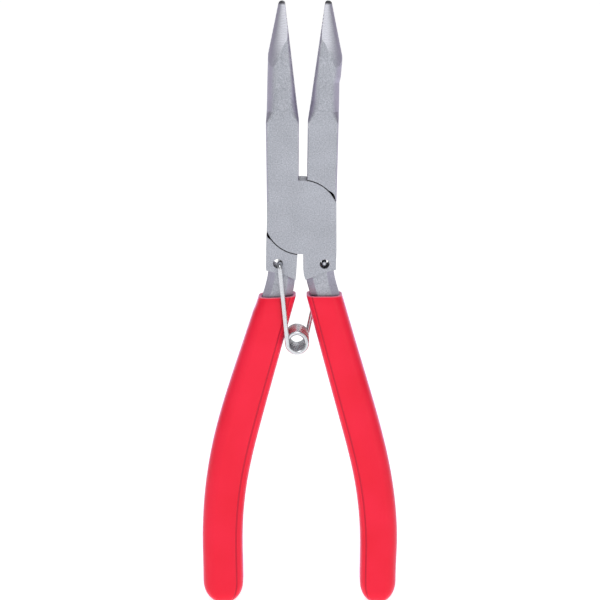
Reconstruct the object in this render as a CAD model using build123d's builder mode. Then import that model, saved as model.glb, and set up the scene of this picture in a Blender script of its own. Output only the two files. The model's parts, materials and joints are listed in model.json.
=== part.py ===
"""Long-nose pliers with a return spring and slip-on grips, standing jaws up.

Frame: the origin is where the pivot's axis meets the joint's back face. +X points to the right
seen from the front, +Y to the back and +Z to the jaw tips, so the front face looks along -Y.
The pivot turns about Y. The front half carries the left jaw and the right handle, the rear half
the right jaw and the left handle, and each is cut back to half its depth where they cross.
"""
import math
import os

from build123d import *

os.makedirs("parts", exist_ok=True)

# ---- Driving dimensions, mm ------------------------------------------------------------------
JOINT_DEPTH = 10.4        # joint, front face to back face
LAP_GAP = 0.05            # film of oil between the two laps
HUB_R = 12.2              # round hub that turns inside the other half's shoulders
SHOULDER_GAP = 0.3        # hub to shoulder, radially
BODY_HALF = 11.35         # half the joint's width
TIP_Z = 70.2              # jaw tips
ROOT_Z = 31.0             # top of the square jaw root, where the nose begins
CORE_DEPTH = 8.4          # handle core, front to back
CORE_CHAMFER = (1.7, 2.3) # forging draft on the core's edges: front to back, and across
GRIP_WALL = 1.35          # sleeve wall at the handle's sides
GRIP_DEPTH = 12.0
GRIP_ROUND = 4.2
MOUTH_Z = -26.2           # open end of the sleeves
MOUTH_DEPTH = 3.0         # how far the loose mouth reaches down
MOUTH_WALL = 1.1
RIVET_R = 3.5
RIVET_HEAD_R = 5.0
RIVET_HEAD_T = 1.5
RIVET_CLEARANCE = 0.05
RIVET_FRONT_WALL = 1.4    # metal left in front of the blind rivet
HOOK_HOLE_R = 1.55
RELIEF_R = 3.0            # small scoop in each shoulder, near the joint's side
RELIEF_AT = 9.95          # its centre's distance from the pivot
LEFT_HOLE = (-7.8, -15.3)     # x, z of the front hook's hole, in the rear half
RIGHT_HOLE = (7.5, -15.5)     # x, z of the rear hook's hole, in the front half
WIRE_R = 0.78
COIL_CENTRE = (-1.5, -41.5)   # x, z of the spring's axis
COIL_R = 3.22                 # to the middle of the wire
COIL_LOOPS = 9
HOOK_BEND_R = 1.6
KNEE_R = 0.81             # where a leg runs into the coil
LEFT_HOOK = (-7.2, -15.3)     # x, z of the wire in each hole, a little off the hole's centre
RIGHT_HOOK = (7.4, -15.7)
FRONT_HOOK_END_Y = -4.6       # where the wire ends inside each hole
REAR_HOOK_END_Y = -8.6
LEG_CLEARANCE = 0.3           # wire to sleeve, front and back
SPLIT_GAP = 0.3               # cut in the wire at the coil's middle, where the two halves turn
SERRATION_PITCH = 1.2
SERRATION_DEPTH = 0.3
SERRATION_HALF = 0.4      # half a groove's width at the jaw's face
SERRATION_Z = (37.0, 68.0)
TIP_ROUND = 1.1
OVERRUN = 1.0             # how far a cutter passes beyond the face that it cuts

MID_Y = -JOINT_DEPTH / 2
LAP_DEPTH = (JOINT_DEPTH - LAP_GAP) / 2
SHOULDER_R = HUB_R + SHOULDER_GAP
LEG_FRONT_Y = MID_Y - GRIP_DEPTH / 2 - LEG_CLEARANCE - WIRE_R
LEG_REAR_Y = MID_Y + GRIP_DEPTH / 2 + LEG_CLEARANCE + WIRE_R

LEFT, RIGHT = -1, 1

RELIEF_ANGLES = {LEFT: (143.5, 332), RIGHT: (36.5, 208)}   # by the side that the half's jaw is on

# Jaw sections from the hub up: z, inner x, outer x, half depth, inner corner, outer corner.
JAW_SECTIONS = {
    LEFT: [
        (4.0, -1.05, -11.35, 5.2, 0.4, 0.8),
        (ROOT_Z, -0.90, -11.65, 5.2, 0.4, 0.8),
        (34.5, -1.30, -11.40, 5.05, 2.8, 3.4),
        (38.0, -1.71, -11.30, 4.9, 3.3, 3.8),
        (44.0, -2.41, -11.18, 4.6, 1.9, 3.7),
        (53.5, -3.50, -10.92, 4.1, 1.3, 3.6),
        (TIP_Z, -5.43, -10.90, 3.3, 0.6, 3.0),
    ],
    RIGHT: [
        (4.0, 1.65, 11.35, 5.2, 0.4, 0.8),
        (ROOT_Z, 2.03, 12.00, 5.2, 0.4, 0.8),
        (34.5, 2.54, 12.12, 5.05, 2.8, 3.4),
        (38.0, 3.04, 12.20, 4.9, 3.3, 3.8),
        (43.8, 3.87, 12.28, 4.6, 1.9, 3.7),
        (45.4, 4.10, 12.70, 4.55, 1.8, 3.7),
        (51.0, 4.91, 13.22, 4.2, 1.4, 3.6),
        (TIP_Z, 7.68, 12.60, 3.3, 0.6, 3.0),
    ],
}
# Oval cone that the nose is ground to: z, centre x, half width, half depth.
NOSE_CONE = {
    LEFT: [(4.0, 2.22, 23.25, 13.6), (TIP_Z, -5.43, 1.95, 1.65)],
    RIGHT: [(4.0, -1.85, 24.6, 13.6), (TIP_Z, 7.68, 1.95, 1.65)],
}
# Square block at the top of each handle: x, z round the outline.
BLOCK = {
    LEFT: [(-BODY_HALF, 0), (-11.65, -10.8), (-11.7, -17.6), (-5.8, -19.1), (-3.1, -20.3), (-2.0, -20.9),
           (-1.8, -19.0), (-1.35, -12.0), (-1.35, 0)],
    RIGHT: [(BODY_HALF, 0), (11.4, -10.8), (11.2, -17.4), (7.5, -18.3), (3.6, -19.9), (1.2, -20.7),
            (0.7, -19.0), (0.5, -17.0), (0.45, 0)],
}
# Handle edges under the sleeves' mouths: x, z of the sleeve's outside, top to bottom.
GRIP_OUTER = {
    LEFT: [(-13.4, -24.0), (-20.4, -45.3), (-27.85, -69.1), (-32.0, -90.0), (-33.2, -110.0),
           (-33.0, -124.0)],
    RIGHT: [(12.6, -24.0), (18.8, -45.3), (25.75, -69.1), (30.4, -90.0), (32.0, -110.0), (31.6, -124.0)],
}
GRIP_INNER = {
    LEFT: [(-1.2, -24.0), (-7.05, -45.3), (-13.5, -69.1), (-18.2, -90.0), (-19.8, -110.0), (-19.6, -124.0)],
    RIGHT: [(0.9, -24.0), (6.45, -45.3), (12.8, -69.1), (17.75, -90.0), (19.6, -110.0), (19.5, -124.0)],
}
GRIP_END_Z = -131.7
TANG_OUTER = {
    LEFT: [(-11.1, -14.0), (-11.35, -21.0), (-12.5, -25.5)],
    RIGHT: [(10.8, -14.0), (10.95, -21.0), (12.2, -25.5)],
}
TANG_INNER = {
    LEFT: [(-2.2, -14.0), (-2.2, -21.0), (-2.9, -25.5)],
    RIGHT: [(1.5, -14.0), (1.5, -21.0), (2.7, -25.5)],
}


def polar(radius, angle):
    """x, z of a point round the pivot, its angle from +X towards +Z."""
    return (radius * math.cos(math.radians(angle)), radius * math.sin(math.radians(angle)))


def jaw_section(side, z, inner_x, outer_x, half_depth, inner_round, outer_round):
    """One level of a jaw: a rectangle with its own corner rounds inside and outside."""
    outer_group = 0 if side == LEFT else -1
    inner_group = -1 - outer_group
    with BuildSketch(Plane.XY.offset(z)) as section:
        with Locations(((inner_x + outer_x) / 2, MID_Y)):
            Rectangle(abs(outer_x - inner_x), 2 * half_depth)
        fillet(section.vertices().group_by(Axis.X)[outer_group], outer_round)
        fillet(section.vertices().group_by(Axis.X)[inner_group], inner_round)
    return section.sketch


def cone_section(z, centre_x, half_width, half_depth):
    """One level of the oval cone that a nose is ground to."""
    with BuildSketch(Plane.XY.offset(z)) as section:
        with Locations((centre_x, MID_Y)):
            Ellipse(half_width, half_depth)
    return section.sketch


def jaw(side):
    """A jaw with its square root, rounded nose, ground tip and fine cross serrations."""
    sections = [jaw_section(side, *level) for level in JAW_SECTIONS[side]]
    cone = [cone_section(*level) for level in NOSE_CONE[side]]
    with BuildPart() as body:
        loft(sections, ruled=True)
        loft(cone, ruled=True, mode=Mode.INTERSECT)
        fillet(body.faces().sort_by(Axis.Z)[-1].edges(), TIP_ROUND)
        root = JAW_SECTIONS[side][1]
        tip = JAW_SECTIONS[side][-1]
        lean = (tip[1] - root[1]) / (tip[0] - root[0])
        grooves = int((SERRATION_Z[1] - SERRATION_Z[0]) / SERRATION_PITCH)
        with BuildSketch(Plane.XZ.offset(-OVERRUN)):
            for index in range(grooves):
                z = SERRATION_Z[0] + index * SERRATION_PITCH
                x = root[1] + lean * (z - root[0])
                mouth_x = x - side * SERRATION_DEPTH / 3
                with BuildLine():
                    Polyline((mouth_x, z - SERRATION_HALF), (x + side * SERRATION_DEPTH, z),
                             (mouth_x, z + SERRATION_HALF), close=True)
                make_face()
        extrude(amount=JOINT_DEPTH + 2 * OVERRUN, mode=Mode.SUBTRACT)
    return body.part


def shifted(points, dx):
    """The same points moved sideways."""
    return [(x + dx, z) for x, z in points]


def direction(start, end):
    """Unit vector from one point of an outline to the next."""
    length = math.dist(start, end)
    return ((end[0] - start[0]) / length, (end[1] - start[1]) / length)


def sleeve_outline(side):
    """Closed front outline of a sleeve with a half oval at its lower end, centred on the laps."""
    outer, inner = GRIP_OUTER[side], GRIP_INNER[side]
    end_x = (outer[-1][0] + inner[-1][0]) / 2
    end_half = abs(outer[-1][0] - inner[-1][0]) / 2
    with BuildSketch(Plane.XZ.offset(-MID_Y - GRIP_DEPTH / 2)) as outline:
        with BuildLine():
            Spline(*outer, tangents=[direction(*outer[:2]), (0, -1)])
            EllipticalCenterArc((end_x, outer[-1][1]), end_half, outer[-1][1] - GRIP_END_Z, 180,
                                arc_size=180)
            Spline(*inner, tangents=[direction(*inner[:2]), (0, -1)])
            Line(inner[0], outer[0])
        make_face()
    return outline.sketch


def core_outline(side):
    """Closed front outline of a handle core: the tang, then the sleeve's shape less its wall."""
    outer = TANG_OUTER[side] + shifted(GRIP_OUTER[side], -side * GRIP_WALL)[1:]
    inner = TANG_INNER[side] + shifted(GRIP_INNER[side], side * GRIP_WALL)[1:]
    with BuildSketch(Plane.XZ.offset(-MID_Y - CORE_DEPTH / 2)) as outline:
        with BuildLine():
            Spline(*outer)
            Line(outer[-1], inner[-1])
            Spline(*inner)
            Line(inner[0], outer[0])
        make_face()
    return outline.sketch


def handle_core(side):
    """Forged steel core of a handle, from inside the block to near the sleeve's closed end."""
    with BuildPart() as core:
        extrude(core_outline(side), amount=CORE_DEPTH)
        chamfer(core.faces().filter_by(Axis.Y).edges(), *CORE_CHAMFER)
    return core.part


def grip(side, core):
    """Dipped-look sleeve round a handle core, closed at its lower end, with a loose mouth."""
    with BuildPart() as sleeve:
        extrude(sleeve_outline(side), amount=GRIP_DEPTH)
        fillet(sleeve.faces().filter_by(Axis.Y).edges(), GRIP_ROUND)
        split(bisect_by=Plane.XY.offset(MOUTH_Z), keep=Keep.BOTTOM)
        mouth = sleeve.faces().sort_by(Axis.Z)[-1]
        mouth_box = mouth.bounding_box()
        with BuildSketch(Plane.XY.offset(MOUTH_Z)):
            with Locations((mouth_box.center().X, MID_Y)):
                RectangleRounded(mouth_box.size.X - 2 * MOUTH_WALL, mouth_box.size.Y - 2 * MOUTH_WALL,
                                 GRIP_ROUND - MOUTH_WALL)
        extrude(amount=-MOUTH_DEPTH, mode=Mode.SUBTRACT)
        add(core, mode=Mode.SUBTRACT)
    return sleeve.part


def half(jaw_side, core, hole, in_front):
    """One forging: a jaw, the hub in its own lap, the opposite handle's block and that handle's core."""
    handle_side = -jaw_side
    own_lap = LAP_DEPTH + LAP_GAP if in_front else 0
    other_lap = -OVERRUN if in_front else LAP_DEPTH
    with BuildPart() as forging:
        add(jaw(jaw_side))
        with BuildSketch(Plane.XZ):
            with BuildLine():
                Polyline(*BLOCK[handle_side], close=True)
            make_face()
        extrude(amount=JOINT_DEPTH)
        with BuildSketch(Plane.XZ.offset(own_lap)):
            Circle(HUB_R)
            Rectangle(2 * BODY_HALF, 2 * HUB_R, mode=Mode.INTERSECT)
        extrude(amount=LAP_DEPTH)
        with BuildSketch(Plane.XZ.offset(other_lap)):
            Circle(SHOULDER_R)
            with Locations([polar(RELIEF_AT, angle) for angle in RELIEF_ANGLES[jaw_side]]):
                Circle(RELIEF_R)
        extrude(amount=LAP_DEPTH + LAP_GAP + OVERRUN, mode=Mode.SUBTRACT)
        add(core)
        with BuildSketch(Plane.XZ.offset(-OVERRUN)):
            with Locations(hole):
                Circle(HOOK_HOLE_R)
        extrude(amount=JOINT_DEPTH + 2 * OVERRUN, mode=Mode.SUBTRACT)
    return forging.part


def tangent_angle(hook, turn):
    """Angle round the coil, from +X towards +Z, where a straight leg from the hook meets it."""
    dx = hook[0] - COIL_CENTRE[0]
    dz = hook[1] - COIL_CENTRE[1]
    reach = math.hypot(dx, dz)
    return math.degrees(math.atan2(dz, dx) + turn * math.acos(COIL_R / reach))


def on_coil(angle, y):
    """Point on the middle of the coil's wire."""
    turn = math.radians(angle)
    return (COIL_CENTRE[0] + COIL_R * math.cos(turn), y, COIL_CENTRE[1] + COIL_R * math.sin(turn))


def coil(start_angle, end_angle, pitch, start_y):
    """Close-wound turns from one angle to another, running to the back as they turn."""
    turn = math.radians(start_angle)
    base = Plane(origin=(COIL_CENTRE[0], start_y, COIL_CENTRE[1]),
                 x_dir=(math.cos(turn), 0, math.sin(turn)), z_dir=(0, 1, 0))
    with BuildPart() as turns:
        with BuildLine() as wire:
            Helix(pitch, pitch * (end_angle - start_angle) / 360, COIL_R, lefthand=True)
        with BuildSketch(Plane(origin=wire.line @ 0, z_dir=wire.line % 0)):
            Circle(WIRE_R)
        sweep(path=wire.line, is_frenet=True)
    return turns.part.moved(base.location)


def leg(hook, angle, leg_y, hook_end_y):
    """Straight leg from the coil to a hole, with its end bent into the hole."""
    foot = on_coil(angle, leg_y)
    with BuildPart() as wire_leg:
        with BuildLine() as wire:
            FilletPolyline(foot, (hook[0], leg_y, hook[1]), (hook[0], hook_end_y, hook[1]),
                           radius=HOOK_BEND_R)
        with BuildSketch(Plane(origin=wire.line @ 0, z_dir=wire.line % 0)):
            Circle(WIRE_R)
        sweep(path=wire.line)
        with Locations(foot):
            Sphere(KNEE_R)
    return wire_leg.part


left_core = handle_core(LEFT)
right_core = handle_core(RIGHT)

# Front half: left jaw and right handle. The rivet is blind, so its front face stays plain.
with BuildPart() as front_half:
    add(half(LEFT, right_core, RIGHT_HOLE, in_front=True))
    with BuildSketch(Plane.XZ):
        Circle(RIVET_R)
    extrude(amount=JOINT_DEPTH - RIVET_FRONT_WALL, mode=Mode.SUBTRACT)
front_half.part.label = "front_half"
export_step(front_half.part, "parts/front_half.step")

# Rear half: right jaw and left handle. It turns on the rivet, under the rivet's flush head.
with BuildPart() as rear_half:
    add(half(RIGHT, left_core, LEFT_HOLE, in_front=False))
    with BuildSketch(Plane.XZ):
        Circle(RIVET_R + RIVET_CLEARANCE)
    extrude(amount=JOINT_DEPTH, mode=Mode.SUBTRACT)
    with BuildSketch(Plane.XZ):
        Circle(RIVET_HEAD_R + RIVET_CLEARANCE)
    extrude(amount=RIVET_HEAD_T + RIVET_CLEARANCE, mode=Mode.SUBTRACT)
rear_half.part.label = "rear_half"
export_step(rear_half.part, "parts/rear_half.step")

with BuildPart() as pivot_rivet:
    with BuildSketch(Plane.XZ):
        Circle(RIVET_HEAD_R)
    extrude(amount=RIVET_HEAD_T)
    with BuildSketch(Plane.XZ.offset(RIVET_HEAD_T)):
        Circle(RIVET_R)
    extrude(amount=JOINT_DEPTH - RIVET_FRONT_WALL - RIVET_HEAD_T)
pivot_rivet.part.label = "pivot_rivet"
export_step(pivot_rivet.part, "parts/pivot_rivet.step")

with BuildPart() as left_grip:
    add(grip(LEFT, left_core))
left_grip.part.label = "left_grip"
export_step(left_grip.part, "parts/left_grip.step")

with BuildPart() as right_grip:
    add(grip(RIGHT, right_core))
right_grip.part.label = "right_grip"
export_step(right_grip.part, "parts/right_grip.step")


# Return spring: one wire in two nodes that turn against each other about the coil's axis.
front_angle = tangent_angle(LEFT_HOOK, 1)
rear_angle = tangent_angle(RIGHT_HOOK, -1) + 360 * COIL_LOOPS
coil_pitch = (LEG_REAR_Y - LEG_FRONT_Y) * 360 / (rear_angle - front_angle)
middle_angle = (front_angle + rear_angle) / 2
half_split = math.degrees(SPLIT_GAP / 2 / COIL_R)

with BuildPart() as spring_front:
    add(coil(front_angle, middle_angle - half_split, coil_pitch, LEG_FRONT_Y))
    add(leg(LEFT_HOOK, front_angle, LEG_FRONT_Y, FRONT_HOOK_END_Y))
spring_front.part.label = "spring_front"
export_step(spring_front.part, "parts/spring_front.step")

rear_start_y = LEG_REAR_Y - coil_pitch * (rear_angle - middle_angle - half_split) / 360
with BuildPart() as spring_rear:
    add(coil(middle_angle + half_split, rear_angle, coil_pitch, rear_start_y))
    add(leg(RIGHT_HOOK, rear_angle, LEG_REAR_Y, REAR_HOOK_END_Y))
spring_rear.part.label = "spring_rear"
export_step(spring_rear.part, "parts/spring_rear.step")
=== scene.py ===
"""Spring-opened long-nose pliers: blasted steel forgings, red vinyl sleeves and one wound return spring."""

import json
import math

import bmesh
import bpy
from mathutils import Matrix, Vector


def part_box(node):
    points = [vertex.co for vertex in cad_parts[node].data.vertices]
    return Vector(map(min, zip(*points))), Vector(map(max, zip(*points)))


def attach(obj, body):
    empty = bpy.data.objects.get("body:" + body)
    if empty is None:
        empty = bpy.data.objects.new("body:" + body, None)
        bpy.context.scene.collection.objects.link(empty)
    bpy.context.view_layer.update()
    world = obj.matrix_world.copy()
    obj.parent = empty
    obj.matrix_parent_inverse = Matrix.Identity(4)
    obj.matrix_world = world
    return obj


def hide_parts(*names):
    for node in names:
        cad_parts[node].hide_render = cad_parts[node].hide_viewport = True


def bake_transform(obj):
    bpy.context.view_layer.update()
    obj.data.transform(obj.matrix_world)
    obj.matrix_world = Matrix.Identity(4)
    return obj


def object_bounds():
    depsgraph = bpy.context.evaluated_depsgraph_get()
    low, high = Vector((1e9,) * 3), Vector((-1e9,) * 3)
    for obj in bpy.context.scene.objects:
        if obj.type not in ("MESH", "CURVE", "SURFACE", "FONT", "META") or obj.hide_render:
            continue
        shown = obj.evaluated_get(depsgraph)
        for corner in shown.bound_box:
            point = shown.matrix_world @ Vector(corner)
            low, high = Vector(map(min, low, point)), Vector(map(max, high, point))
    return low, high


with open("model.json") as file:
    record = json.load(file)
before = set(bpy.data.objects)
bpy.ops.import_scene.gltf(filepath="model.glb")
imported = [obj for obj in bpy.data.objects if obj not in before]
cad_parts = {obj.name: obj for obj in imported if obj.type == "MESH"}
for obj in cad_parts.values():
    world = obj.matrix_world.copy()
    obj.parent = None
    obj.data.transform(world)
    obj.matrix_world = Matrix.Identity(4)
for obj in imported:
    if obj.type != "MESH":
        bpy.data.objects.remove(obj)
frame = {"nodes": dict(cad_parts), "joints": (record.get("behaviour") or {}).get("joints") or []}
CAD_BOX = [list(corner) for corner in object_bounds()]

MM = 0.001
JOINTS = {joint["name"]: joint for joint in frame["joints"]}

MID_Y = -5.2 * MM         # middle of the joint's depth
# The spring's wire, as in the CAD model.
WIRE_R = 0.78 * MM
COIL_AXIS = Vector(JOINTS["spring_coil"]["pos_m"])
COIL_R = 3.22 * MM
COIL_LOOPS = 9
STEPS_PER_LOOP = 28
WIRE_SIDES = 18
HOOK_BEND_R = 1.6 * MM
LEG_FRONT_Y = -12.28 * MM
LEG_REAR_Y = 1.88 * MM
FRONT_HOOK = Vector((-7.2 * MM, -4.6 * MM, -15.3 * MM))     # where the wire ends in each hole
REAR_HOOK = Vector((7.4 * MM, -8.6 * MM, -15.7 * MM))
# The sleeves.
SLEEVE_HALF_DEPTH = 6.0 * MM
SLEEVE_ROUND = 4.2 * MM
SLEEVE_END = 7.7 * MM     # length of the round closed end
SLEEVE_LEVELS = 36        # from the mouth to the closed end
MOUTH_Z = -26.2 * MM
MOUTH_DEPTH = 3.0 * MM
MOUTH_WALL = 1.1 * MM
LIP = 0.4 * MM            # round of the mouth's rim
WAVE_REPEAT = 0.314       # a wave texture of scale 1 repeats after this length


# ---- Small helpers ---------------------------------------------------------------------------

def linear(hex_colour):
    """sRGB hex such as "F5304A" to linear RGBA."""
    channels = [int(hex_colour[i:i + 2], 16) / 255 for i in (0, 2, 4)]
    return [c / 12.92 if c <= 0.04045 else ((c + 0.055) / 1.055) ** 2.4 for c in channels] + [1.0]


def add_node(tree, kind, settings=None, inputs=None):
    """Adds one node. An input is a plain value, or another node's output to link from."""
    node = tree.nodes.new(kind)
    for name, value in (settings or {}).items():
        setattr(node, name, value)
    for name, value in (inputs or {}).items():
        if isinstance(value, bpy.types.NodeSocket):
            tree.links.new(value, node.inputs[name])
        else:
            node.inputs[name].default_value = value
    return node


def new_material(name):
    """A material with an empty Principled surface. Returns the material, its tree and its shader."""
    material = bpy.data.materials.new(name)
    material.use_nodes = True
    tree = material.node_tree
    return material, tree, tree.nodes["Principled BSDF"]


def finish_piece(name, bm, material, body=None):
    """Turns a bmesh into a smooth piece at the origin, riding on its body when one is given."""
    bmesh.ops.remove_doubles(bm, verts=bm.verts, dist=0.002 * MM)
    bmesh.ops.recalc_face_normals(bm, faces=bm.faces)
    mesh = bpy.data.meshes.new(name)
    bm.to_mesh(mesh)
    bm.free()
    mesh.polygons.foreach_set("use_smooth", [True] * len(mesh.polygons))
    mesh.materials.append(material)
    piece = bpy.data.objects.new(name, mesh)
    bpy.context.scene.collection.objects.link(piece)
    if body:
        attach(piece, body)
    return piece


def rim_of(geometry):
    """The vertices of an operator's result, and the edges that join them."""
    verts = [item for item in geometry if isinstance(item, bmesh.types.BMVert)]
    inside = set(verts)
    edges = {edge for vert in verts for edge in vert.link_edges if set(edge.verts) <= inside}
    return verts, list(edges)


def pull(bm, edges, step):
    """Extrudes a ring of edges by one step."""
    verts, edges = rim_of(bmesh.ops.extrude_edge_only(bm, edges=edges)["geom"])
    bmesh.ops.translate(bm, verts=verts, vec=step)
    return verts, edges


# ---- Materials -------------------------------------------------------------------------------

def blasted_plated_steel():
    """Drop-forged carbon steel, bead blasted and dull nickel plated: an even pale grey with a faint blue
    cast and a fine matt grain, with painted shade, darker and lilac, on the sides. The cones of the nose show
    fine wavering grinding lines and are coloured brighter where they face front: partly the grinding, partly
    a painted highlight. Their ends carry painted shade, painted shade darkens every narrow gap, painted
    glints sit on stretches of the edges at the noses' roots, and edges look softened by tumbling."""
    material, tree, shader = new_material("blasted_plated_steel")
    coords = add_node(tree, "ShaderNodeTexCoord")
    place = coords.outputs["Object"]
    # Blasting beads leave dimples of about 0.1 mm. They are drawn at 0.4 mm, so that they show.
    grain = add_node(tree, "ShaderNodeTexNoise", inputs={
        "Vector": place, "Scale": 1 / (0.4 * MM), "Detail": 3.0, "Roughness": 0.7})
    # Slow clouding where the blast dwelt, about 9 mm across.
    cloud = add_node(tree, "ShaderNodeTexNoise", inputs={
        "Vector": place, "Scale": 1 / (9 * MM), "Detail": 2.0})
    grain_tone = add_node(tree, "ShaderNodeMapRange", inputs={
        "Value": grain.outputs["Fac"], "From Min": 0.32, "From Max": 0.68})
    blasted = add_node(tree, "ShaderNodeMix", {"data_type": "RGBA"}, {
        "Factor": grain_tone.outputs["Result"], 6: linear("9599A3"), 7: linear("C9CBD3")})
    cloud_tone = add_node(tree, "ShaderNodeMapRange", inputs={
        "Value": cloud.outputs["Fac"], "From Min": 0.3, "From Max": 0.7, "To Min": 0.94, "To Max": 1.05})
    clouded = add_node(tree, "ShaderNodeVectorMath", {"operation": "SCALE"}, {
        0: blasted.outputs[2], "Scale": cloud_tone.outputs["Result"]})
    # Cones near the tips: the faces that lean back more than the forging's own faces. Their brighter
    # colour is partly the grinding and partly a painted highlight, kept to the faces that look forward.
    facing = add_node(tree, "ShaderNodeSeparateXYZ", inputs={"Vector": coords.outputs["Normal"]})
    height = add_node(tree, "ShaderNodeSeparateXYZ", inputs={"Vector": place})
    leaning = add_node(tree, "ShaderNodeMapRange", {"interpolation_type": "SMOOTHSTEP"}, {
        "Value": facing.outputs["Z"], "From Min": 0.10, "From Max": 0.16})
    near_tip = add_node(tree, "ShaderNodeMapRange", {"interpolation_type": "SMOOTHSTEP"}, {
        "Value": height.outputs["Z"], "From Min": 50 * MM, "From Max": 58 * MM})
    sideways = add_node(tree, "ShaderNodeMath", {"operation": "ABSOLUTE"}, {0: facing.outputs["X"]})
    frontal = add_node(tree, "ShaderNodeMapRange", {"interpolation_type": "SMOOTHSTEP"}, {
        "Value": sideways.outputs[0], "From Min": 0.75, "From Max": 0.25})
    leaning_tip = add_node(tree, "ShaderNodeMath", {"operation": "MULTIPLY"}, {
        0: leaning.outputs["Result"], 1: near_tip.outputs["Result"]})
    ground = add_node(tree, "ShaderNodeMath", {"operation": "MULTIPLY"}, {
        0: leaning_tip.outputs[0], 1: frontal.outputs["Result"]})
    # Grinding lines about 0.5 mm apart across the cones, wavering.
    lines = add_node(tree, "ShaderNodeTexWave", {"bands_direction": "Z"}, {
        "Vector": place, "Scale": WAVE_REPEAT / (0.5 * MM), "Distortion": 6.0,
        "Detail": 3.0, "Detail Scale": 2.0})
    line_tone = add_node(tree, "ShaderNodeMix", {"data_type": "RGBA"}, {
        "Factor": lines.outputs["Fac"], 6: linear("D0D1DA"), 7: linear("E8E9F2")})
    # Painted shade: the plating is coloured a little darker and lilac towards the sides.
    flank = add_node(tree, "ShaderNodeMapRange", {"interpolation_type": "SMOOTHSTEP"}, {
        "Value": sideways.outputs[0], "From Min": 0.3, "From Max": 0.8, "To Max": 0.7})
    side_shaded = add_node(tree, "ShaderNodeMix", {"data_type": "RGBA"}, {
        "Factor": flank.outputs["Result"], 6: clouded.outputs[0], 7: linear("B5AEC6")})
    # The cones' brighter tone: partly grinding, partly a painted highlight.
    bright = add_node(tree, "ShaderNodeMix", {"data_type": "RGBA"}, {
        "Factor": ground.outputs[0], 6: side_shaded.outputs[2], 7: line_tone.outputs[2]})
    # Painted shade: the last millimetre or so of each tip is coloured dark.
    end = add_node(tree, "ShaderNodeMapRange", {"interpolation_type": "SMOOTHSTEP"}, {
        "Value": height.outputs["Z"], "From Min": 68.8 * MM, "From Max": 69.6 * MM})
    tip_shaded = add_node(tree, "ShaderNodeMix", {"data_type": "RGBA"}, {
        "Factor": end.outputs["Result"], 6: bright.outputs[2], 7: linear("5E5E64")})
    # Painted glints: from the noses' roots upwards, stretches of the edges are coloured
    # bright over about 0.3 mm: there the softened normal leaves the true one.
    soft_edge = add_node(tree, "ShaderNodeBevel", {"samples": 6}, {"Radius": 0.3 * MM})
    true_normal = add_node(tree, "ShaderNodeNewGeometry").outputs["True Normal"]
    turned = add_node(tree, "ShaderNodeVectorMath", {"operation": "DOT_PRODUCT"}, {
        0: soft_edge.outputs["Normal"], 1: true_normal})
    painted_edge_glint = add_node(tree, "ShaderNodeMapRange", {"interpolation_type": "SMOOTHSTEP"}, {
        "Value": turned.outputs["Value"], "From Min": 0.9985, "From Max": 0.97})
    ridge_spots = add_node(tree, "ShaderNodeTexNoise", inputs={
        "Vector": place, "Scale": 1 / (3 * MM), "Detail": 1.0})
    spots = add_node(tree, "ShaderNodeMapRange", {"interpolation_type": "SMOOTHSTEP"}, {
        "Value": ridge_spots.outputs["Fac"], "From Min": 0.44, "From Max": 0.58})
    at_roots = add_node(tree, "ShaderNodeMapRange", {"interpolation_type": "SMOOTHSTEP"}, {
        "Value": height.outputs["Z"], "From Min": 26 * MM, "From Max": 29 * MM})
    ridges = add_node(tree, "ShaderNodeMath", {"operation": "MULTIPLY"}, {
        0: painted_edge_glint.outputs["Result"], 1: spots.outputs["Result"]})
    painted_ridge_glint = add_node(tree, "ShaderNodeMath", {"operation": "MULTIPLY"}, {
        0: ridges.outputs[0], 1: at_roots.outputs["Result"]})
    edge_glinted = add_node(tree, "ShaderNodeMix", {"data_type": "RGBA"}, {
        "Factor": painted_ridge_glint.outputs[0], 6: tip_shaded.outputs[2], 7: linear("F6F8FC")})
    # Painted shade darkens the colour about a millimetre into a gap.
    shelter = add_node(tree, "ShaderNodeAmbientOcclusion", {"samples": 8}, {"Distance": 2.0 * MM})
    painted_gap_shade = add_node(tree, "ShaderNodeMapRange", {"interpolation_type": "SMOOTHSTEP"}, {
        "Value": shelter.outputs["AO"], "From Min": 0.68, "From Max": 0.25})
    colour = add_node(tree, "ShaderNodeMix", {"data_type": "RGBA"}, {
        "Factor": painted_gap_shade.outputs["Result"], 6: edge_glinted.outputs[2], 7: linear("2E2A28")})
    rough = add_node(tree, "ShaderNodeMapRange", inputs={
        "Value": grain.outputs["Fac"], "From Min": 0.3, "From Max": 0.7, "To Min": 0.46, "To Max": 0.6})
    bump = add_node(tree, "ShaderNodeBump", inputs={
        "Height": grain.outputs["Fac"], "Strength": 0.4, "Distance": 0.03 * MM,
        "Normal": soft_edge.outputs["Normal"]})
    tree.links.new(colour.outputs[2], shader.inputs["Base Color"])
    tree.links.new(rough.outputs["Result"], shader.inputs["Roughness"])
    tree.links.new(bump.outputs["Normal"], shader.inputs["Normal"])
    shader.inputs["Metallic"].default_value = 0.8
    return material


def ground_rivet_steel():
    """Rivet head ground flush after setting: a little brighter and smoother, with fine turned rings."""
    material, tree, shader = new_material("ground_rivet_steel")
    place = add_node(tree, "ShaderNodeTexCoord").outputs["Object"]
    rings = add_node(tree, "ShaderNodeTexWave", {"wave_type": "RINGS", "rings_direction": "Y"}, {
        "Vector": place, "Scale": 1 / (2.0 * MM), "Distortion": 0.6, "Detail": 2.0, "Detail Scale": 3.0})
    tone = add_node(tree, "ShaderNodeMix", {"data_type": "RGBA"}, {
        "Factor": rings.outputs["Fac"], 6: linear("9C9EA6"), 7: linear("AEB0B8")})
    bump = add_node(tree, "ShaderNodeBump", inputs={
        "Height": rings.outputs["Fac"], "Strength": 0.2, "Distance": 0.01 * MM})
    tree.links.new(tone.outputs[2], shader.inputs["Base Color"])
    tree.links.new(bump.outputs["Normal"], shader.inputs["Normal"])
    shader.inputs["Metallic"].default_value = 0.9
    shader.inputs["Roughness"].default_value = 0.34
    return material


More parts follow.
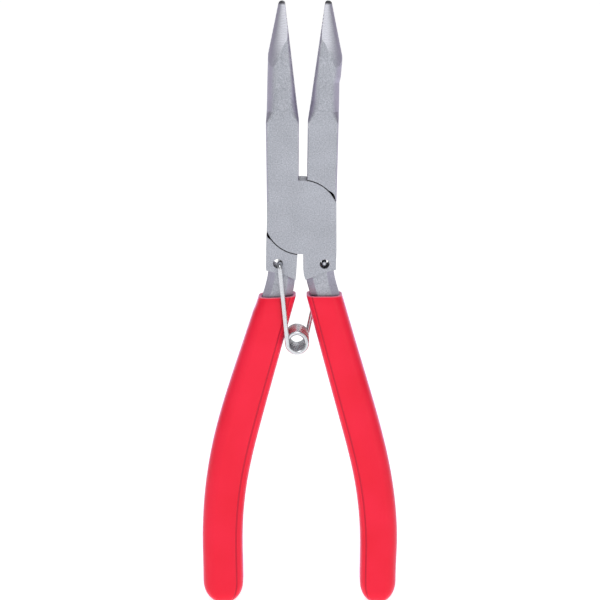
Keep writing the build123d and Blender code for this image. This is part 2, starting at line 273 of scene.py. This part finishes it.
def drawn_spring_wire():
    """Hard-drawn spring wire, bright zinc plated: shiny, with dark and light lines along it from its
    surroundings and faint patches left by the plating."""
    material, tree, shader = new_material("drawn_spring_wire")
    place = add_node(tree, "ShaderNodeTexCoord").outputs["Object"]
    patches = add_node(tree, "ShaderNodeTexNoise", inputs={
        "Vector": place, "Scale": 1 / (0.8 * MM), "Detail": 2.0})
    tone = add_node(tree, "ShaderNodeMix", {"data_type": "RGBA"}, {
        "Factor": patches.outputs["Fac"], 6: linear("B9BBC1"), 7: linear("E2E4E8")})
    rough = add_node(tree, "ShaderNodeMapRange", inputs={
        "Value": patches.outputs["Fac"], "To Min": 0.12, "To Max": 0.26})
    tree.links.new(tone.outputs[2], shader.inputs["Base Color"])
    tree.links.new(rough.outputs["Result"], shader.inputs["Roughness"])
    shader.inputs["Metallic"].default_value = 0.9
    return material


def red_vinyl():
    """Soft PVC sleeve, dip moulded and slipped on warm: bright red with a satin gloss and a very slight
    orange peel."""
    material, tree, shader = new_material("red_vinyl")
    coords = add_node(tree, "ShaderNodeTexCoord")
    place = coords.outputs["Object"]
    peel = add_node(tree, "ShaderNodeTexNoise", inputs={
        "Vector": place, "Scale": 1 / (1.6 * MM), "Detail": 2.0})
    drift = add_node(tree, "ShaderNodeTexNoise", inputs={
        "Vector": place, "Scale": 1 / (14 * MM), "Detail": 1.0})
    drift_tone = add_node(tree, "ShaderNodeMapRange", inputs={
        "Value": drift.outputs["Fac"], "From Min": 0.3, "From Max": 0.7})
    tone = add_node(tree, "ShaderNodeMix", {"data_type": "RGBA"}, {
        "Factor": drift_tone.outputs["Result"], 6: linear("F41434"), 7: linear("FA1C3E")})
    # Painted shade: sheltered places, such as the inside of the mouth, are coloured darker.
    shelter = add_node(tree, "ShaderNodeAmbientOcclusion", {"samples": 8}, {"Distance": 1.2 * MM})
    painted_crease_shade = add_node(tree, "ShaderNodeMapRange", {"interpolation_type": "SMOOTHSTEP"}, {
        "Value": shelter.outputs["AO"], "From Min": 0.9, "From Max": 0.4})
    shaded = add_node(tree, "ShaderNodeMix", {"data_type": "RGBA"}, {
        "Factor": painted_crease_shade.outputs["Result"], 6: tone.outputs[2], 7: linear("A80C2A")})
    # Painted highlight: the cut rim of the mouth is coloured paler where it faces up.
    facing = add_node(tree, "ShaderNodeSeparateXYZ", inputs={"Vector": coords.outputs["Normal"]})
    height = add_node(tree, "ShaderNodeSeparateXYZ", inputs={"Vector": place})
    upwards = add_node(tree, "ShaderNodeMapRange", {"interpolation_type": "SMOOTHSTEP"}, {
        "Value": facing.outputs["Z"], "From Min": 0.2, "From Max": 0.6})
    at_mouth = add_node(tree, "ShaderNodeMapRange", inputs={
        "Value": height.outputs["Z"], "From Min": MOUTH_Z - 1.2 * MM, "From Max": MOUTH_Z - 1.0 * MM})
    rim = add_node(tree, "ShaderNodeMath", {"operation": "MULTIPLY"}, {
        0: upwards.outputs["Result"], 1: at_mouth.outputs["Result"]})
    # Painted shade along the seam groove.
    seam = add_node(tree, "ShaderNodeAttribute", {"attribute_name": "seam"})
    painted_seam_shade = add_node(tree, "ShaderNodeMix", {"data_type": "RGBA"}, {
        "Factor": seam.outputs["Fac"], 6: shaded.outputs[2], 7: linear("CE0C30")})
    colour = add_node(tree, "ShaderNodeMix", {"data_type": "RGBA"}, {
        "Factor": rim.outputs[0], 6: painted_seam_shade.outputs[2], 7: linear("FF7A8E")})
    rough = add_node(tree, "ShaderNodeMapRange", inputs={
        "Value": drift.outputs["Fac"], "To Min": 0.3, "To Max": 0.42})
    bump = add_node(tree, "ShaderNodeBump", inputs={
        "Height": peel.outputs["Fac"], "Strength": 0.12, "Distance": 0.05 * MM})
    tree.links.new(colour.outputs[2], shader.inputs["Base Color"])
    tree.links.new(rough.outputs["Result"], shader.inputs["Roughness"])
    tree.links.new(bump.outputs["Normal"], shader.inputs["Normal"])
    shader.inputs["Specular IOR Level"].default_value = 0.25
    shader.inputs["Sheen Weight"].default_value = 1.0
    shader.inputs["Sheen Roughness"].default_value = 0.35
    shader.inputs["Sheen Tint"].default_value = linear("F0C0FF")
    return material


STEEL = blasted_plated_steel()
RIVET_STEEL = ground_rivet_steel()
WIRE = drawn_spring_wire()
VINYL = red_vinyl()


# ---- CAD nodes that keep their shape ---------------------------------------------------------

def refinish(node, material):
    """Gives a CAD node its real finish."""
    slots = frame["nodes"][node].data.materials
    slots.clear()
    slots.append(material)


refinish("front_half", STEEL)
refinish("rear_half", STEEL)
refinish("pivot_rivet", RIVET_STEEL)


# ---- Return spring: one wire ------------------------------------------------------------------

def leg_foot(hook, turn):
    """Where a straight leg from the hook meets the coil's middle line, seen along the coil's axis."""
    reach = Vector((hook.x - COIL_AXIS.x, hook.z - COIL_AXIS.z))
    angle = math.atan2(reach.y, reach.x) + turn * math.acos(COIL_R / reach.length)
    return angle, Vector((COIL_AXIS.x + COIL_R * math.cos(angle), 0, COIL_AXIS.z + COIL_R * math.sin(angle)))


def close_wire_end(bm, verts, edges, outwards):
    """Wire end cut off square, with its burr rounded away."""
    middle = sum((vert.co for vert in verts), Vector()) / len(verts)
    for reach, shrink in ((0.12 * MM, 0.93), (0.10 * MM, 0.85)):
        verts, edges = pull(bm, edges, outwards * reach)
        middle = middle + outwards * reach
        bmesh.ops.scale(bm, verts=verts, vec=(shrink,) * 3, space=Matrix.Translation(-middle))
    bmesh.ops.edgeloop_fill(bm, edges=edges)


def return_spring():
    """Torsion spring: hook, front leg, nine coils, rear leg, hook, all one length of wire."""
    front_angle, front_foot = leg_foot(FRONT_HOOK, 1)
    rear_angle, rear_foot = leg_foot(REAR_HOOK, -1)
    front_foot.y, rear_foot.y = LEG_FRONT_Y, LEG_REAR_Y
    front_knee = Vector((FRONT_HOOK.x, LEG_FRONT_Y, FRONT_HOOK.z))
    rear_knee = Vector((REAR_HOOK.x, LEG_REAR_Y, REAR_HOOK.z))
    down = (front_foot - front_knee).normalized()
    up = (rear_knee - rear_foot).normalized()
    forwards, backwards = Vector((0, -1, 0)), Vector((0, 1, 0))

    bm = bmesh.new()
    ring = bmesh.ops.create_circle(bm, segments=WIRE_SIDES, radius=WIRE_R)["verts"]
    bmesh.ops.rotate(bm, verts=ring, matrix=Matrix.Rotation(math.pi / 2, 3, "X"))
    bmesh.ops.translate(bm, verts=ring, vec=FRONT_HOOK)
    _, start_edges = rim_of(ring)
    _, edges = pull(bm, start_edges, forwards * (FRONT_HOOK.y - LEG_FRONT_Y - HOOK_BEND_R))
    bend = bmesh.ops.spin(bm, geom=edges, cent=front_knee + backwards * HOOK_BEND_R + down * HOOK_BEND_R,
                          axis=forwards.cross(down), angle=math.pi / 2, steps=8)
    _, edges = rim_of(bend["geom_last"])
    _, edges = pull(bm, edges, front_foot - front_knee - down * HOOK_BEND_R)
    sweep_angle = rear_angle - front_angle + 2 * math.pi * COIL_LOOPS
    steps = COIL_LOOPS * STEPS_PER_LOOP
    coils = bmesh.ops.spin(bm, geom=edges, cent=COIL_AXIS, axis=forwards, angle=sweep_angle, steps=steps,
                           dvec=backwards * (LEG_REAR_Y - LEG_FRONT_Y) / steps)
    _, edges = rim_of(coils["geom_last"])
    _, edges = pull(bm, edges, rear_knee - rear_foot - up * HOOK_BEND_R)
    bend = bmesh.ops.spin(bm, geom=edges, cent=rear_knee - up * HOOK_BEND_R + forwards * HOOK_BEND_R,
                          axis=up.cross(forwards), angle=math.pi / 2, steps=8)
    _, edges = rim_of(bend["geom_last"])
    end_verts, end_edges = pull(bm, edges, forwards * (LEG_REAR_Y - HOOK_BEND_R - REAR_HOOK.y))
    close_wire_end(bm, end_verts, end_edges, forwards)
    close_wire_end(bm, ring, start_edges, backwards)
    spring = finish_piece("return_spring", bm, WIRE)
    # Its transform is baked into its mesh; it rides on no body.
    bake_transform(spring)
    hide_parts("spring_front", "spring_rear")


return_spring()


# ---- Sleeves ---------------------------------------------------------------------------------

def upright_edges(node):
    """The edges of a CAD node that are not level, each as its lower and its upper end."""
    mesh = frame["nodes"][node].data
    ends = ([mesh.vertices[index].co.copy() for index in edge.vertices] for edge in mesh.edges)
    return [sorted(pair, key=lambda end: end.z) for pair in ends if pair[0].z != pair[1].z]


def level_width(edges, level):
    """Least and greatest x where the edges cross one level."""
    crossings = [low.x + (high.x - low.x) * (level - low.z) / (high.z - low.z)
                 for low, high in edges if low.z < level < high.z]
    return min(crossings), max(crossings)


def sleeve_section(bm, side):
    """One level of a sleeve, 2 wide and 2 deep: full rounds outside, and inside a seam groove at the front
    and the back with a rounder flank between them. Inside is towards the other handle."""
    corners = [(-1, -1, 0.66), (0.63, -1, 0.05), (0.69, -0.925, 0.03), (0.74, -0.935, 0.03), (1, -0.74, 0.25),
               (1, 0.74, 0.25), (0.74, 0.935, 0.03), (0.69, 0.925, 0.03), (0.63, 1, 0.05), (-1, 1, 0.66)]
    verts = [bm.verts.new((-side * across, deep, 0)) for across, deep, _ in corners]
    bm.faces.new(verts)
    for (_, _, reach), vert in zip(corners, verts):
        bmesh.ops.bevel(bm, geom=[vert], offset=reach, segments=9 if reach > 0.1 else 2, profile=0.5,
                        affect="VERTICES", material=-1)
    bmesh.ops.delete(bm, geom=bm.faces[:], context="FACES_ONLY")
    # The seam attribute marks the groove for painted shade in the vinyl.
    seam = bm.verts.layers.float.new("seam")
    for vert in bm.verts:
        vert[seam] = float(0.645 < -side * vert.co.x < 0.735)
    return bm.verts[:], bm.edges[:]


def sleeve(name, node, side, body, mouth_lean):
    """Vinyl sleeve: rolled rim round the loose mouth, a body that follows the handle, a round closed end."""
    end_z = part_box(node)[0].z
    cad_edges = upright_edges(node)

    def fit(verts, old, new):
        """Moves a level of the sleeve from one (centre x, z, half width, half depth) to another."""
        bmesh.ops.scale(bm, verts=verts, vec=(new[2] / old[2], new[3] / old[3], 1),
                        space=Matrix.Translation((-old[0], -MID_Y, 0)))
        bmesh.ops.translate(bm, verts=verts, vec=(new[0] - old[0], 0, new[1] - old[1]))

    def level_at(z):
        """Centre x, z, half width and half depth of the sleeve at one level."""
        low, high = level_width(cad_edges, z)
        sunk = max(0, SLEEVE_ROUND - (z - end_z))
        depth = SLEEVE_HALF_DEPTH - SLEEVE_ROUND + math.sqrt(SLEEVE_ROUND ** 2 - sunk ** 2)
        return ((low + high) / 2, z, (high - low) / 2, depth)

    bm = bmesh.new()
    verts, edges = sleeve_section(bm, side)
    top = level_at(MOUTH_Z - LIP)
    bmesh.ops.scale(bm, verts=verts, vec=(top[2], top[3], 1))
    bmesh.ops.translate(bm, verts=verts, vec=(top[0], MID_Y, top[1]))
    rim_edges = edges

    # Down the handle, then round the closed end.
    straight_z = end_z + SLEEVE_END
    levels = [top[1] + (straight_z - top[1]) * step / SLEEVE_LEVELS for step in range(1, SLEEVE_LEVELS + 1)]
    levels += [straight_z - SLEEVE_END * math.sin(math.radians(turn)) for turn in range(9, 88, 6)]
    old = top
    for z in levels:
        new = level_at(z)
        verts, edges = pull(bm, edges, (0, 0, 0))
        fit(verts, old, new)
        old = new
    bmesh.ops.edgeloop_fill(bm, edges=edges)

    # Rolled rim, then down inside the mouth.
    old = top
    edges = rim_edges
    rims = [(math.sin(math.radians(turn)) * LIP, (1 - math.cos(math.radians(turn))) * LIP)
            for turn in (30, 60, 90)]
    rims += [(LIP * 0.9, MOUTH_WALL - 0.3 * MM), (LIP * 0.5, MOUTH_WALL), (LIP - MOUTH_DEPTH, MOUTH_WALL)]
    for rise, inset in rims:
        new = (top[0], top[1] + rise, top[2] - inset, top[3] - inset)
        verts, edges = pull(bm, edges, (0, 0, 0))
        fit(verts, old, new)
        old = new
    bmesh.ops.edgeloop_fill(bm, edges=edges)

    # The mouth was cut a little out of square.
    lean = Matrix.Identity(4)
    lean[2][0] = mouth_lean
    inner_x = top[0] - side * top[2]
    mouth = [vert for vert in bm.verts if vert.co.z > MOUTH_Z - MOUTH_DEPTH - LIP / 2]
    bmesh.ops.transform(bm, matrix=lean, space=Matrix.Translation((-inner_x, 0, 0)), verts=mouth)

    piece = finish_piece(name, bm, VINYL, body)
    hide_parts(node)


sleeve("left_sleeve", "left_grip", -1, "rear_half", 0.05)
sleeve("right_sleeve", "right_grip", 1, "front_half", 0.0)


# ---- Stage, lights and camera ----------------------------------------------------------------

def stage_floor():
    """Plain pale floor under the sleeves' ends. It glows a little, so that it stays white."""
    bm = bmesh.new()
    bmesh.ops.create_grid(bm, x_segments=1, y_segments=1, size=60.0)
    bmesh.ops.translate(bm, verts=bm.verts, vec=(0, 0, CAD_BOX[0][2] - 0.2 * MM))
    material, _, shader = new_material("pale_floor")
    shader.inputs["Base Color"].default_value = linear("FBFBFB")
    shader.inputs["Roughness"].default_value = 0.9
    shader.inputs["Emission Color"].default_value = linear("FFFFFF")
    shader.inputs["Emission Strength"].default_value = 0.7
    floor = finish_piece("floor", bm, material)


def soft_light(name, place, aim, size, watts):
    """One square softbox."""
    lamp = bpy.data.lights.new(name, "AREA")
    lamp.shape = "SQUARE"
    lamp.size = size
    lamp.energy = watts
    light = bpy.data.objects.new(name, lamp)
    light.location = place
    light.rotation_euler = (Vector(aim) - Vector(place)).to_track_quat("-Z", "Y").to_euler()
    bpy.context.scene.collection.objects.link(light)


def studio():
    """White walls in front and behind, dark at the sides and above, and three softboxes."""
    world = bpy.data.worlds.new("studio")
    world.use_nodes = True
    tree = world.node_tree
    direction = add_node(tree, "ShaderNodeTexCoord").outputs["Generated"]
    parts = add_node(tree, "ShaderNodeSeparateXYZ", inputs={"Vector": direction})
    depth = add_node(tree, "ShaderNodeMath", {"operation": "ABSOLUTE"}, {0: parts.outputs["Y"]})
    level = add_node(tree, "ShaderNodeMapRange", {"interpolation_type": "SMOOTHSTEP"}, {
        "Value": depth.outputs[0], "From Min": 0.05, "From Max": 0.95, "To Min": 0.12, "To Max": 0.68})
    tree.nodes["Background"].inputs["Color"].default_value = linear("FFFFFF")
    # The tent lights the tool unevenly, but it looks plain white itself.
    seen = add_node(tree, "ShaderNodeLightPath").outputs["Is Camera Ray"]
    strength = add_node(tree, "ShaderNodeMath", {"operation": "MAXIMUM"}, {
        0: level.outputs["Result"], 1: seen})
    tree.links.new(strength.outputs[0], tree.nodes["Background"].inputs["Strength"])
    bpy.context.scene.world = world
    middle = (Vector(CAD_BOX[0]) + Vector(CAD_BOX[1])) / 2
    soft_light("key", middle + Vector((-0.15, -0.7, 0.85)), middle, 0.4, 2.0)
    soft_light("fill", middle + Vector((0.5, -0.8, 0.2)), middle, 0.5, 0.5)
    soft_light("back", middle + Vector((0.2, 0.8, 0.7)), middle, 0.6, 1.2)


def camera():
    """Long lens a little above the tool, looking down at its front."""
    elevation = math.radians(11)
    distance = 0.9
    aim = Vector((-0.55 * MM, -5.4 * MM, -28.4 * MM))
    view = Vector((0, -math.cos(elevation), math.sin(elevation)))
    data = bpy.data.cameras.new("camera")
    data.sensor_width = 36
    data.lens = 163.6
    data.clip_end = 50
    eye = bpy.data.objects.new("camera", data)
    eye.location = aim + view * distance
    eye.rotation_euler = (-view).to_track_quat("-Z", "Y").to_euler()
    bpy.context.scene.collection.objects.link(eye)
    bpy.context.scene.camera = eye


stage_floor()
studio()
camera()
bpy.context.scene.view_settings.view_transform = "Standard"
